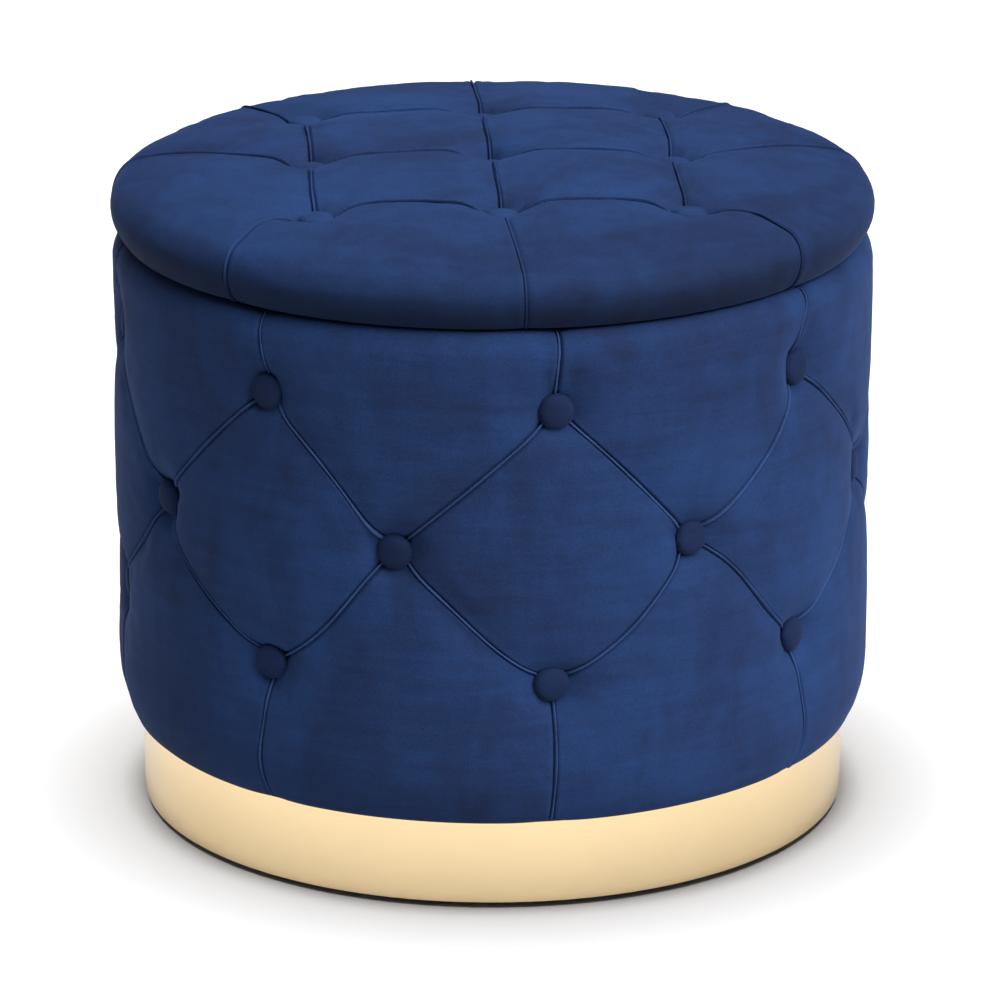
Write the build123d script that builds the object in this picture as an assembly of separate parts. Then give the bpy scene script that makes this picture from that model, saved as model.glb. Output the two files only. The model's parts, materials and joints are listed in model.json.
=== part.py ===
"""Round storage ottoman: tufted velvet drum on a gold plinth, with a lift-off tufted lid.

Millimetres. The origin is on the floor under the middle of the drum, +Z is up, and a column of side
buttons faces -Y. The plinth band's joint is at the back, +Y.
"""

from build123d import *
import math
import os

# Heights above the floor
GLIDE_HEIGHT = 4.0
DUST_COVER_THICKNESS = 1.0
PLINTH_RING_THICKNESS = 18.0
PLINTH_RING_COUNT = 3
VELVET_THICKNESS = 1.5
BOARD_THICKNESS = 12.0
LINING_THICKNESS = 1.5
RIM_PAD_THICKNESS = 4.5
RIM_TOP_Z = 388.0
LID_GAP = 1.0
LID_TOP_Z = 443.0
LID_WIDEST_Z = 407.0

PLINTH_BOTTOM_Z = GLIDE_HEIGHT + DUST_COVER_THICKNESS
PLINTH_TOP_Z = PLINTH_BOTTOM_Z + PLINTH_RING_COUNT * PLINTH_RING_THICKNESS
FLOOR_BOARD_Z = PLINTH_TOP_Z + VELVET_THICKNESS
FLOOR_TOP_Z = FLOOR_BOARD_Z + BOARD_THICKNESS
WALL_TOP_Z = RIM_TOP_Z - VELVET_THICKNESS - RIM_PAD_THICKNESS
TOP_RING_Z = WALL_TOP_Z - BOARD_THICKNESS
LID_BOTTOM_Z = RIM_TOP_Z + LID_GAP
LID_BOARD_Z = LID_BOTTOM_Z + VELVET_THICKNESS
LID_BOARD_TOP_Z = LID_BOARD_Z + BOARD_THICKNESS

# Drum, as radii about the Z axis
DRUM_RADIUS = 250.0
DRUM_HEM_RADIUS = 240.0
DRUM_HEM_ROUND_Z = 100.0
DRUM_RIM_RADIUS = 244.0
DRUM_RIM_ROUND_Z = 372.0
SHELL_INNER_RADIUS = 221.0
SHELL_THICKNESS = 3.0
SHELL_OUTER_RADIUS = SHELL_INNER_RADIUS + SHELL_THICKNESS
STORAGE_RADIUS = 199.0
FRAME_INNER_RADIUS = STORAGE_RADIUS + LINING_THICKNESS
RIM_TURN_DOWN = 40.0
HEM_OVERLAP = 2.0
POST_WIDTH = 25.0
POST_DEPTH = 20.0
POST_COUNT = 8
POST_ANGLE = 11.25

# Plinth
PLINTH_RADIUS = 233.4
PLINTH_INNER_RADIUS = 195.0
BAND_THICKNESS = 0.8
BAND_TOP_GAP = 0.4
BAND_JOINT_SLIT = 0.6
JOINT_PLATE_WIDTH = 20.0
JOINT_PLATE_INSET = 1.0
BAND_JOINT_ANGLE = 90.0
GLIDE_RADIUS = 12.5
GLIDE_CIRCLE_RADIUS = 210.0
GLIDE_COUNT = 6
GLIDE_ANGLE = 30.0
GLIDE_CHAMFER = 0.8
NAIL_SHORTFALL = 2.0
DUST_COVER_INSET = 1.4

# Lid, as radii about the Z axis
LID_RADIUS = 251.0
LID_HEM_RADIUS = 243.0
LID_SHOULDER_ROUND = 19.0
LID_BOARD_RADIUS = 238.0
LID_TURN_UNDER_RADIUS = 183.0
PLUG_RADIUS = 193.0
PLUG_LINING_THICKNESS = 1.0

# Tufting
BUTTON_RADIUS = 11.5
BUTTON_RIM = 2.8
BUTTON_CROWN = 4.7
BUTTON_STEP = 45.0
SIDE_ROW_Z = {"upper": 335.0, "middle": 241.0, "lower": 154.5}
SIDE_ROW_ANGLE = {"upper": 0.0, "middle": BUTTON_STEP / 2, "lower": 0.0}
FIRST_COLUMN_ANGLE = -90.0
# Degrees by which each hand-set button is off even spacing, from the front column round to the right
SIDE_BUTTON_SHIFTS = {
    "upper": (0.65, -0.55, 0.3, -0.4, 0.5, -0.3, 0.4, 0.0),
    "middle": (0.0, 0.0, 0.4, -0.6, 0.2, 0.7, -1.2, -1.2),
    "lower": (0.0, -0.5, 0.5, 0.2, -0.4, 0.3, -0.3, 0.35),
}
SIDE_BUTTON_BASE_RADIUS = 238.0
LID_BUTTON_SPACING = 119.0
LID_GRID_ANGLE = -5.6
LID_BUTTON_BASE_Z = 424.0
CUP_RADIUS = 12.7
TIE_RADIUS = 0.8
TIE_HOLE_RADIUS = 1.5
TIE_TAIL = 3.0
TOGGLE_SIZE = (2.5, 5.0, 14.0)
TOGGLE_CLEARANCE = 0.1
TOGGLE_POCKET_RADIUS = 9.0
TOGGLE_POCKET_DEPTH = 3.0

# Fasteners
SCREW_RADIUS = 2.0
SCREW_HEAD_RADIUS = 4.0
SCREW_HEAD_HEIGHT = 3.0
SCREW_TIP = 5.0
NAIL_RADIUS = 1.1
NAIL_HEAD_RADIUS = 3.0
STAPLE_WIDTH = 10.0
STAPLE_WIRE = 0.6
STAPLE_CROWN = 0.5
STAPLE_LEG = 8.0
STAPLE_COUNT = 24
DUST_STAPLE_RADIUS = 222.0
HEM_STAPLE_RADIUS = 203.0
LID_STAPLE_RADIUS = 188.0
PLINTH_SCREW_RADIUS = 214.0
PLINTH_SCREW_ANGLE = 15.0
PLINTH_SCREW_COUNT = 6
POST_SCREW_LENGTH = 45.0
PLUG_SCREW_RADIUS = 150.0
PLUG_SCREW_COUNT = 8
SCREW_SHORTFALL = 3.0
BAND_SCREW_RADIUS = 1.2
BAND_SCREW_LENGTH = 16.0
BAND_SCREW_HEAD_RADIUS = 2.5
BAND_SCREW_HEAD_HEIGHT = 1.2
BAND_SCREW_ANGLES = (-1.6, 1.6)

# Room past a face that a cutting shape runs on, so that no skin is left
RUN_ON = 5.0


def ring(outer, inner, low, high):
    """A flat-ended ring about Z."""
    blank = Pos(0, 0, low) * Cylinder(outer, high - low, align=(Align.CENTER, Align.CENTER, Align.MIN))
    if inner == 0:
        return blank
    hole = Pos(0, 0, low) * Cylinder(inner, high - low, align=(Align.CENTER, Align.CENTER, Align.MIN))
    return blank - hole


def turned(edges):
    """The solid that a closed outline in the XZ plane sweeps about Z."""
    return revolve(Plane.XZ * make_face(edges), Axis.Z)


def outline(curves, last_points):
    """A closed outline: arcs joined end to end, then straight lines through the last points."""
    edges = list(curves)
    corner = curves[-1] @ 1
    for point in [*last_points, curves[0] @ 0]:
        edges.append(Line(corner, point))
        corner = point
    return edges


def side_round(edge_radius, wide_radius, rise):
    """Radius of the arc that leaves the wide radius upright and reaches the edge radius after the rise."""
    inset = wide_radius - edge_radius
    return (inset**2 + rise**2) / (2 * inset)


def drum_form(inset):
    """The drum's whole outside, from hem to rim, as a solid shrunk by the inset."""
    hem_round = side_round(DRUM_HEM_RADIUS, DRUM_RADIUS, DRUM_HEM_ROUND_Z - PLINTH_TOP_Z)
    rim_round = side_round(DRUM_RIM_RADIUS, DRUM_RADIUS, RIM_TOP_Z - DRUM_RIM_ROUND_Z)
    hem_turn = math.degrees(math.asin((DRUM_HEM_ROUND_Z - PLINTH_TOP_Z - inset) / (hem_round - inset)))
    rim_turn = math.degrees(math.asin((RIM_TOP_Z - inset - DRUM_RIM_ROUND_Z) / (rim_round - inset)))
    hem = CenterArc((DRUM_RADIUS - hem_round, DRUM_HEM_ROUND_Z), hem_round - inset, -hem_turn, hem_turn)
    rim = CenterArc((DRUM_RADIUS - rim_round, DRUM_RIM_ROUND_Z), rim_round - inset, 0, rim_turn)
    side = Line(hem @ 1, rim @ 0)
    axis_points = [(0, RIM_TOP_Z - inset), (0, PLINTH_TOP_Z + inset)]
    return turned(outline([hem, side, rim], axis_points))


def lid_form(inset):
    """The lid's whole outside as a solid shrunk by the inset."""
    hem_round = side_round(LID_HEM_RADIUS, LID_RADIUS, LID_WIDEST_Z - LID_BOTTOM_Z)
    hem_turn = math.degrees(math.asin((LID_WIDEST_Z - LID_BOTTOM_Z - inset) / (hem_round - inset)))
    shoulder_x = LID_RADIUS - LID_SHOULDER_ROUND
    rise = LID_TOP_Z - LID_WIDEST_Z
    crown_round = (shoulder_x**2 + rise**2 - LID_SHOULDER_ROUND**2) / (2 * (rise - LID_SHOULDER_ROUND))
    crown_turn = math.degrees(math.asin(shoulder_x / (crown_round - LID_SHOULDER_ROUND)))
    hem = CenterArc((LID_RADIUS - hem_round, LID_WIDEST_Z), hem_round - inset, -hem_turn, hem_turn)
    shoulder = CenterArc((shoulder_x, LID_WIDEST_Z), LID_SHOULDER_ROUND - inset, 0, 90 - crown_turn)
    crown_centre = (0, LID_TOP_Z - crown_round)
    crown = CenterArc(crown_centre, crown_round - inset, 90 - crown_turn, crown_turn)
    return turned(outline([hem, shoulder, crown], [(0, LID_BOTTOM_Z + inset)]))


def around(radius, angle, height=0.0):
    """Place something that points along +X so that it faces outwards at an angle about Z."""
    return Rot(0, 0, angle) * Pos(radius, 0, height)


def radial_rod(rod_radius, start, end):
    """A rod along +X from start to end."""
    lying = Rot(0, 90, 0) * Cylinder(rod_radius, end - start, align=(Align.CENTER, Align.CENTER, Align.MIN))
    return Pos(start, 0, 0) * lying


def upright_rod(rod_radius, low, high):
    """A rod along +Z from low to high."""
    return Pos(0, 0, low) * Cylinder(rod_radius, high - low, align=(Align.CENTER, Align.CENTER, Align.MIN))


def covered_button():
    """A domed covered button that stands on the XY plane, facing +Z."""
    dome_round = (BUTTON_RADIUS**2 + BUTTON_CROWN**2) / (2 * BUTTON_CROWN)
    dome_turn = math.degrees(math.asin(BUTTON_RADIUS / dome_round))
    centre = (0, BUTTON_RIM + BUTTON_CROWN - dome_round)
    dome = CenterArc(centre, dome_round, 90 - dome_turn, dome_turn)
    return turned(outline([dome], [(0, 0), (BUTTON_RADIUS, 0)]))


def countersunk_screw(length):
    """A wood screw that points up +Z, with its flat head face on the XY plane."""
    base = (Align.CENTER, Align.CENTER, Align.MIN)
    head = Cone(SCREW_HEAD_RADIUS, SCREW_RADIUS, SCREW_HEAD_HEIGHT, align=base)
    shank = upright_rod(SCREW_RADIUS, SCREW_HEAD_HEIGHT, length - SCREW_TIP)
    tip = Pos(0, 0, length - SCREW_TIP) * Cone(SCREW_RADIUS, SCREW_RADIUS / 4, SCREW_TIP, align=base)
    return head + shank + tip


def staple():
    """A staple that points up +Z, with its crown along Y on the XY plane."""
    base = (Align.CENTER, Align.CENTER, Align.MIN)
    crown = Box(STAPLE_WIRE * 2, STAPLE_WIDTH, STAPLE_CROWN, align=base)
    leg = Box(STAPLE_WIRE * 2, STAPLE_WIRE, STAPLE_CROWN + STAPLE_LEG, align=base)
    leg_y = (STAPLE_WIDTH - STAPLE_WIRE) / 2
    return crown + Pos(0, leg_y, 0) * leg + Pos(0, -leg_y, 0) * leg


def staple_circle(radius, height):
    """Staples spread evenly round a circle, pointing up."""
    step = 360.0 / STAPLE_COUNT
    places = [around(radius, step * (i + 0.5), height) for i in range(STAPLE_COUNT)]
    return [place * staple() for place in places]


def side_button_angles(row):
    """Angles about Z of one row's buttons."""
    first = FIRST_COLUMN_ANGLE + SIDE_ROW_ANGLE[row]
    return [first + BUTTON_STEP * i + shift for i, shift in enumerate(SIDE_BUTTON_SHIFTS[row])]


def side_places():
    """One place on the axis for each side button, facing outwards along +X."""
    return [
        around(0, angle, height)
        for row, height in SIDE_ROW_Z.items()
        for angle in side_button_angles(row)
    ]


def lid_places():
    """One place at floor height for each lid button, row by row from the front left."""
    steps = (-LID_BUTTON_SPACING, 0, LID_BUTTON_SPACING)
    return [Rot(0, 0, LID_GRID_ANGLE) * Pos(x, y, 0) for y in steps for x in steps]


def glides():
    """Moulded glides, each with a recess for its nail's head."""
    recess = upright_rod(NAIL_HEAD_RADIUS, 0, GLIDE_HEIGHT / 2)
    disc = upright_rod(GLIDE_RADIUS, 0, GLIDE_HEIGHT)
    disc = chamfer(disc.edges().group_by(Axis.Z)[0], GLIDE_CHAMFER)
    blank = disc - recess - upright_rod(NAIL_RADIUS, 0, GLIDE_HEIGHT)
    return [place * blank for place in glide_places()]


def glide_places():
    """One place on the floor for each glide."""
    step = 360.0 / GLIDE_COUNT
    return [around(GLIDE_CIRCLE_RADIUS, GLIDE_ANGLE + step * i) for i in range(GLIDE_COUNT)]


def glide_nails():
    """Nails whose heads sit in the glides' recesses."""
    head = upright_rod(NAIL_HEAD_RADIUS, GLIDE_HEIGHT / 4, GLIDE_HEIGHT / 2)
    tip_z = PLINTH_BOTTOM_Z + PLINTH_RING_THICKNESS - NAIL_SHORTFALL
    nail = head + upright_rod(NAIL_RADIUS, GLIDE_HEIGHT / 2, tip_z)
    return [place * nail for place in glide_places()]


def plinth_screws():
    """Long screws up through the plinth's rings into the floor board."""
    length = FLOOR_TOP_Z - PLINTH_BOTTOM_Z - SCREW_SHORTFALL
    step = 360.0 / PLINTH_SCREW_COUNT
    angles = [PLINTH_SCREW_ANGLE + step * i for i in range(PLINTH_SCREW_COUNT)]
    places = [around(PLINTH_SCREW_RADIUS, angle, PLINTH_BOTTOM_Z) for angle in angles]
    return [place * countersunk_screw(length) for place in places]


def band_screws():
    """Small round-headed screws, two beside the band's joint in each plinth ring."""
    plate_face = PLINTH_RADIUS + 2 * BAND_THICKNESS
    head = radial_rod(BAND_SCREW_HEAD_RADIUS, plate_face, plate_face + BAND_SCREW_HEAD_HEIGHT)
    screw = head + radial_rod(BAND_SCREW_RADIUS, plate_face - BAND_SCREW_LENGTH, plate_face)
    heights = [PLINTH_BOTTOM_Z + PLINTH_RING_THICKNESS * (i + 0.5) for i in range(PLINTH_RING_COUNT)]
    angles = [BAND_JOINT_ANGLE + turn for turn in BAND_SCREW_ANGLES]
    return [around(0, angle, z) * screw for z in heights for angle in angles]


def plinth_rings(fasteners):
    """The stack of fibreboard rings, from the lowest up."""
    rings = []
    for index in range(PLINTH_RING_COUNT):
        low = PLINTH_BOTTOM_Z + PLINTH_RING_THICKNESS * index
        rings.append(ring(PLINTH_RADIUS, PLINTH_INNER_RADIUS, low, low + PLINTH_RING_THICKNESS) - fasteners)
    return rings


def plinth_band(fasteners):
    """Gold strip round the plinth, butted at the back."""
    band = ring(PLINTH_RADIUS + BAND_THICKNESS, PLINTH_RADIUS, GLIDE_HEIGHT, PLINTH_TOP_Z - BAND_TOP_GAP)
    slit = Box(2 * RUN_ON, BAND_JOINT_SLIT, 2 * PLINTH_TOP_Z)
    return band - around(PLINTH_RADIUS, BAND_JOINT_ANGLE, PLINTH_TOP_Z / 2) * slit - fasteners


def band_joint_plate(fasteners):
    """Cover plate over the band's joint."""
    inner = PLINTH_RADIUS + BAND_THICKNESS
    low = GLIDE_HEIGHT + JOINT_PLATE_INSET
    high = PLINTH_TOP_Z - BAND_TOP_GAP - JOINT_PLATE_INSET
    full = ring(inner + BAND_THICKNESS, inner, low, high)
    window = Box(4 * RUN_ON, JOINT_PLATE_WIDTH, 2 * PLINTH_TOP_Z)
    return (full & (around(inner, BAND_JOINT_ANGLE, PLINTH_TOP_Z / 2) * window)) - fasteners


def post_places(height):
    """One place at a height for each wall post, its inner face on the frame's inside."""
    step = 360.0 / POST_COUNT
    return [around(FRAME_INNER_RADIUS, POST_ANGLE + step * i, height) for i in range(POST_COUNT)]


def wall_posts(fasteners):
    """Softwood posts between the floor board and the top ring."""
    base = (Align.MIN, Align.CENTER, Align.MIN)
    blank = Box(POST_DEPTH, POST_WIDTH, TOP_RING_Z - FLOOR_TOP_Z, align=base)
    return [place * blank - fasteners for place in post_places(FLOOR_TOP_Z)]


def post_screws_lower():
    """Screws up through the floor board into the posts."""
    middle = Pos(POST_DEPTH / 2, 0, 0)
    return [place * middle * countersunk_screw(POST_SCREW_LENGTH) for place in post_places(FLOOR_BOARD_Z)]


def post_screws_upper():
    """Screws down through the top ring into the posts."""
    middle = Pos(POST_DEPTH / 2, 0, 0) * Rot(180, 0, 0)
    return [place * middle * countersunk_screw(POST_SCREW_LENGTH) for place in post_places(WALL_TOP_Z)]


def wall_shell():
    """Bent hardboard wall, drilled for the button ties."""
    shell = ring(SHELL_OUTER_RADIUS, SHELL_INNER_RADIUS, FLOOR_BOARD_Z, WALL_TOP_Z)
    drill = radial_rod(TIE_HOLE_RADIUS, SHELL_INNER_RADIUS - RUN_ON, SHELL_OUTER_RADIUS + RUN_ON)
    return shell - [place * drill for place in side_places()]


def side_foam():
    """Foam sleeve round the wall, hollowed where each button pulls the velvet in."""
    sleeve = ring(DRUM_RADIUS, SHELL_OUTER_RADIUS, FLOOR_BOARD_Z, WALL_TOP_Z) & drum_form(VELVET_THICKNESS)
    cup_floor = SIDE_BUTTON_BASE_RADIUS - VELVET_THICKNESS
    hollow = radial_rod(CUP_RADIUS + VELVET_THICKNESS, cup_floor, DRUM_RADIUS + RUN_ON)
    channel = radial_rod(TIE_HOLE_RADIUS, SHELL_INNER_RADIUS, SIDE_BUTTON_BASE_RADIUS)
    return sleeve - [place * (hollow + channel) for place in side_places()]


def rim_pad():
    """Thin foam ring that softens the top of the wall."""
    pad = ring(DRUM_RADIUS, STORAGE_RADIUS, WALL_TOP_Z, WALL_TOP_Z + RIM_PAD_THICKNESS)
    return pad & drum_form(VELVET_THICKNESS)


def side_cover(fasteners):
    """Velvet skin: turned under the floor board, up the side, over the rim and down inside."""
    outside = drum_form(0)
    skin = outside - drum_form(VELVET_THICKNESS)
    under = ring(DRUM_HEM_RADIUS - HEM_OVERLAP, PLINTH_INNER_RADIUS, PLINTH_TOP_Z, FLOOR_BOARD_Z)
    opening = ring(STORAGE_RADIUS - VELVET_THICKNESS, 0, RIM_TOP_Z - RUN_ON, RIM_TOP_Z + RUN_ON)
    floor_opening = ring(PLINTH_INNER_RADIUS, 0, PLINTH_TOP_Z - RUN_ON, PLINTH_TOP_Z + RUN_ON)
    inside = ring(STORAGE_RADIUS, STORAGE_RADIUS - VELVET_THICKNESS, RIM_TOP_Z - RIM_TURN_DOWN, RIM_TOP_Z)
    cup_floor = SIDE_BUTTON_BASE_RADIUS - VELVET_THICKNESS
    cup = radial_rod(CUP_RADIUS + VELVET_THICKNESS, cup_floor, DRUM_RADIUS + RUN_ON)
    well = radial_rod(CUP_RADIUS, SIDE_BUTTON_BASE_RADIUS, DRUM_RADIUS + 2 * RUN_ON)
    tie_hole = radial_rod(TIE_RADIUS, cup_floor - RUN_ON, SIDE_BUTTON_BASE_RADIUS + RUN_ON)
    cups = [(place * cup) & outside for place in side_places()]
    wells = [place * (well + tie_hole) for place in side_places()]
    return (skin + under + inside - opening - floor_opening) + cups - wells - fasteners


def side_buttons(row):
    """One row's covered buttons, facing outwards."""
    stand = Pos(SIDE_BUTTON_BASE_RADIUS, 0, 0) * Rot(0, 90, 0)
    button = covered_button()
    places = [around(0, angle, SIDE_ROW_Z[row]) for angle in side_button_angles(row)]
    return [place * stand * button for place in places]


def side_button_ties():
    """Twine from each side button through the foam and the wall to its toggle."""
    tie = radial_rod(TIE_RADIUS, SHELL_INNER_RADIUS - TIE_TAIL, SIDE_BUTTON_BASE_RADIUS)
    return [place * tie for place in side_places()]


def side_tie_toggles():
    """Small bars inside the wall that the ties pull against."""
    bar = Box(*TOGGLE_SIZE, align=(Align.MAX, Align.CENTER, Align.CENTER))
    bar = Pos(SHELL_INNER_RADIUS - TOGGLE_CLEARANCE, 0, 0) * bar
    hole = radial_rod(TIE_RADIUS, SHELL_INNER_RADIUS - 2 * RUN_ON, SHELL_INNER_RADIUS + RUN_ON)
    return [place * (bar - hole) for place in side_places()]


def lid_tie_holes(hole_radius, low, high):
    """An upright rod at each lid button, for cutting or for the twine itself."""
    return [place * upright_rod(hole_radius, low, high) for place in lid_places()]


def lid_foam():
    """Foam over the lid board and down round its edge."""
    foam = lid_form(VELVET_THICKNESS) - ring(LID_BOARD_RADIUS, 0, LID_BOARD_Z - RUN_ON, LID_BOARD_TOP_Z)
    cup_floor = LID_BUTTON_BASE_Z - VELVET_THICKNESS
    hollows = lid_tie_holes(CUP_RADIUS + VELVET_THICKNESS, cup_floor, LID_TOP_Z + RUN_ON)
    return foam - hollows - lid_tie_holes(TIE_HOLE_RADIUS, LID_BOARD_TOP_Z, cup_floor)


def lid_cover(fasteners):
    """Velvet skin over the lid, turned under its board."""
    outside = lid_form(0)
    skin = outside - lid_form(VELVET_THICKNESS)
    window = ring(LID_TURN_UNDER_RADIUS, 0, LID_BOTTOM_Z - RUN_ON, LID_BOTTOM_Z + RUN_ON)
    cup_floor = LID_BUTTON_BASE_Z - VELVET_THICKNESS
    rods = lid_tie_holes(CUP_RADIUS + VELVET_THICKNESS, cup_floor, LID_TOP_Z + RUN_ON)
    cups = [rod & outside for rod in rods]
    wells = lid_tie_holes(CUP_RADIUS, LID_BUTTON_BASE_Z, LID_TOP_Z + 2 * RUN_ON)
    tie_holes = lid_tie_holes(TIE_RADIUS, cup_floor - RUN_ON, LID_BUTTON_BASE_Z + RUN_ON)
    return (skin - window) + cups - wells - tie_holes - fasteners


def lid_buttons():
    """The lid's covered buttons, facing up."""
    button = covered_button()
    return [place * Pos(0, 0, LID_BUTTON_BASE_Z) * button for place in lid_places()]


def lid_tie_toggles():
    """Small bars flat under the lid board that the ties pull against."""
    thickness, width, length = TOGGLE_SIZE
    bar = Box(width, length, thickness, align=(Align.CENTER, Align.CENTER, Align.MAX))
    bar = Pos(0, 0, LID_BOARD_Z) * bar
    hole = upright_rod(TIE_RADIUS, LID_BOARD_Z - 2 * RUN_ON, LID_BOARD_Z + RUN_ON)
    return [place * (bar - hole) for place in lid_places()]


def plug_screws():
    """Screws up through the plug board into the lid board."""
    low = LID_BOTTOM_Z - BOARD_THICKNESS
    length = LID_BOARD_TOP_Z - low - SCREW_SHORTFALL
    step = 360.0 / PLUG_SCREW_COUNT
    angles = [LID_GRID_ANGLE + step * (i + 0.5) for i in range(PLUG_SCREW_COUNT)]
    return [around(PLUG_SCREW_RADIUS, angle, low) * countersunk_screw(length) for angle in angles]


def plug_board(fasteners):
    """Disc that drops into the drum, with pockets over the toggles."""
    board = ring(PLUG_RADIUS, 0, LID_BOTTOM_Z - BOARD_THICKNESS, LID_BOTTOM_Z)
    pocket_floor = LID_BOTTOM_Z - TOGGLE_POCKET_DEPTH
    pockets = lid_tie_holes(TOGGLE_POCKET_RADIUS, pocket_floor, LID_BOTTOM_Z + RUN_ON)
    return board - pockets - fasteners


def plug_lining():
    """Black cloth over the underside and edge of the plug board."""
    low = LID_BOTTOM_Z - BOARD_THICKNESS
    cloth = ring(PLUG_RADIUS + PLUG_LINING_THICKNESS, 0, low - PLUG_LINING_THICKNESS, LID_BOTTOM_Z)
    return cloth - ring(PLUG_RADIUS, 0, low, LID_BOTTOM_Z + RUN_ON)


def numbered(name, solids):
    """One node for each of a run of like pieces."""
    return {f"{name}_{index + 1}": solid for index, solid in enumerate(solids)}


def drum_parts():
    """Every node of the drum."""
    nails = glide_nails()
    long_screws = plinth_screws()
    strip_screws = band_screws()
    dust_staples = staple_circle(DUST_STAPLE_RADIUS, GLIDE_HEIGHT - STAPLE_CROWN)
    hem_staples = staple_circle(HEM_STAPLE_RADIUS, PLINTH_TOP_Z)
    lower_screws = post_screws_lower()
    upper_screws = post_screws_upper()
    dust_cover = ring(PLINTH_RADIUS - DUST_COVER_INSET, 0, GLIDE_HEIGHT, PLINTH_BOTTOM_Z)
    floor_board = ring(SHELL_INNER_RADIUS, 0, FLOOR_BOARD_Z, FLOOR_TOP_Z)
    rings = plinth_rings(nails + long_screws + strip_screws + dust_staples)
    parts = {
        "glide_nails": nails,
        "dust_cover": dust_cover - nails - dust_staples,
        "dust_cover_staples": dust_staples,
        "plinth_ring_lower": rings[0],
        "plinth_ring_middle": rings[1],
        "plinth_ring_upper": rings[2],
        "plinth_screws": long_screws,
        "plinth_band": plinth_band(strip_screws),
        "band_joint_plate": band_joint_plate(strip_screws),
        "band_screws": strip_screws,
        "floor_board": floor_board - long_screws - hem_staples - lower_screws,
        "floor_lining": ring(STORAGE_RADIUS, 0, FLOOR_TOP_Z, FLOOR_TOP_Z + LINING_THICKNESS),
        "post_screws_lower": lower_screws,
        "post_screws_upper": upper_screws,
        "top_ring": ring(SHELL_INNER_RADIUS, FRAME_INNER_RADIUS, TOP_RING_Z, WALL_TOP_Z) - upper_screws,
        "wall_shell": wall_shell(),
        "wall_lining": ring(FRAME_INNER_RADIUS, STORAGE_RADIUS, FLOOR_TOP_Z, WALL_TOP_Z),
        "side_foam": side_foam(),
        "rim_pad": rim_pad(),
        "side_cover": side_cover(long_screws + hem_staples),
        "side_cover_staples": hem_staples,
        "side_button_ties": side_button_ties(),
        "side_tie_toggles": side_tie_toggles(),
    }
    parts.update(numbered("glide", glides()))
    parts.update(numbered("wall_post", wall_posts(lower_screws + upper_screws)))
    parts.update({f"side_buttons_{row}": side_buttons(row) for row in SIDE_ROW_Z})
    return parts


def lid_parts():
    """Every node of the lid."""
    screws = plug_screws()
    staples = staple_circle(LID_STAPLE_RADIUS, LID_BOTTOM_Z)
    tie_low = LID_BOARD_Z - TOGGLE_SIZE[0]
    board = ring(LID_BOARD_RADIUS, 0, LID_BOARD_Z, LID_BOARD_TOP_Z)
    holes = lid_tie_holes(TIE_HOLE_RADIUS, LID_BOARD_Z - RUN_ON, LID_BOARD_TOP_Z + RUN_ON)
    parts = {
        "lid_board": board - holes - screws - staples,
        "lid_foam": lid_foam(),
        "lid_cover": lid_cover(staples),
        "lid_cover_staples": staples,
        "lid_button_ties": lid_tie_holes(TIE_RADIUS, tie_low, LID_BUTTON_BASE_Z),
        "lid_tie_toggles": lid_tie_toggles(),
        "lid_plug_board": plug_board(screws),
        "lid_plug_lining": plug_lining(),
        "lid_plug_screws": screws,
    }
    parts.update(numbered("lid_button", lid_buttons()))
    return parts


def write_part(node, shape):
    """Write one node's solid, or group of solids, to its own file."""
    solids = [s for item in shape for s in item.solids()] if isinstance(shape, list) else shape.solids()
    group = solids[0] if len(solids) == 1 else Compound(children=solids)
    export_step(group, f"parts/{node}.step")


def main():
    os.makedirs("parts", exist_ok=True)
    for node, shape in {**drum_parts(), **lid_parts()}.items():
        write_part(node, shape)


if __name__ == "__main__":
    main()
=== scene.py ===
"""Looks of the round storage ottoman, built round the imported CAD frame. Metres, +Z up.

The velvet covers are meshes whose grid lines follow the tufting: every pleat lies on a grid line, the
panels crown between the pleats, and the cloth is drawn in round each button. A cloth simulation of a
coarse copy, held at its pleats and buttons, then puffs the panels out a little. A pin tuck, the narrow
stitched fold that stands along every pleat, is swept along the same lines.
"""

import json
import math

import bmesh
import bpy
import numpy as np
from mathutils import Matrix, Vector
from mathutils.kdtree import KDTree

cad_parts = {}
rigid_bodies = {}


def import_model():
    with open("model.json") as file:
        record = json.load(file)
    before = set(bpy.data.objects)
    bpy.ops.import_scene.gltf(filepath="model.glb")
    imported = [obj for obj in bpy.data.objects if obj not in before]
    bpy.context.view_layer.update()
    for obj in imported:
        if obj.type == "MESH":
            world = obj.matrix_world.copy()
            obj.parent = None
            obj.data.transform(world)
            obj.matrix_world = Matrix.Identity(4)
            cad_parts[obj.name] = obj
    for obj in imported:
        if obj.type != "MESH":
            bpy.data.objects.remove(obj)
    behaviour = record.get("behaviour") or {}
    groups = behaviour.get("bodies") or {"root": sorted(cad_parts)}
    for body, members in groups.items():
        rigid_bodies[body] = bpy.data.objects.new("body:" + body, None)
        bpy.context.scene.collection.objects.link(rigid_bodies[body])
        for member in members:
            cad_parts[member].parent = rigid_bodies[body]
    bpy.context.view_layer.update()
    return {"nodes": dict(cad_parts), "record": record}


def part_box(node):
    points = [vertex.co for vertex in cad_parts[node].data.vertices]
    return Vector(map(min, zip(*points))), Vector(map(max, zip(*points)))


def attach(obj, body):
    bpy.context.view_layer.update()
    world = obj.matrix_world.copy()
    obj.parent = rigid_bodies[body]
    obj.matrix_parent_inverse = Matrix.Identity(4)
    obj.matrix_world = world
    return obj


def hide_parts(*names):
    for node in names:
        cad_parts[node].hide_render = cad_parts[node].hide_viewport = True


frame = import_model()
RANDOM = np.random.default_rng(7)

# ---------------- sizes taken from the frame

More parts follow.
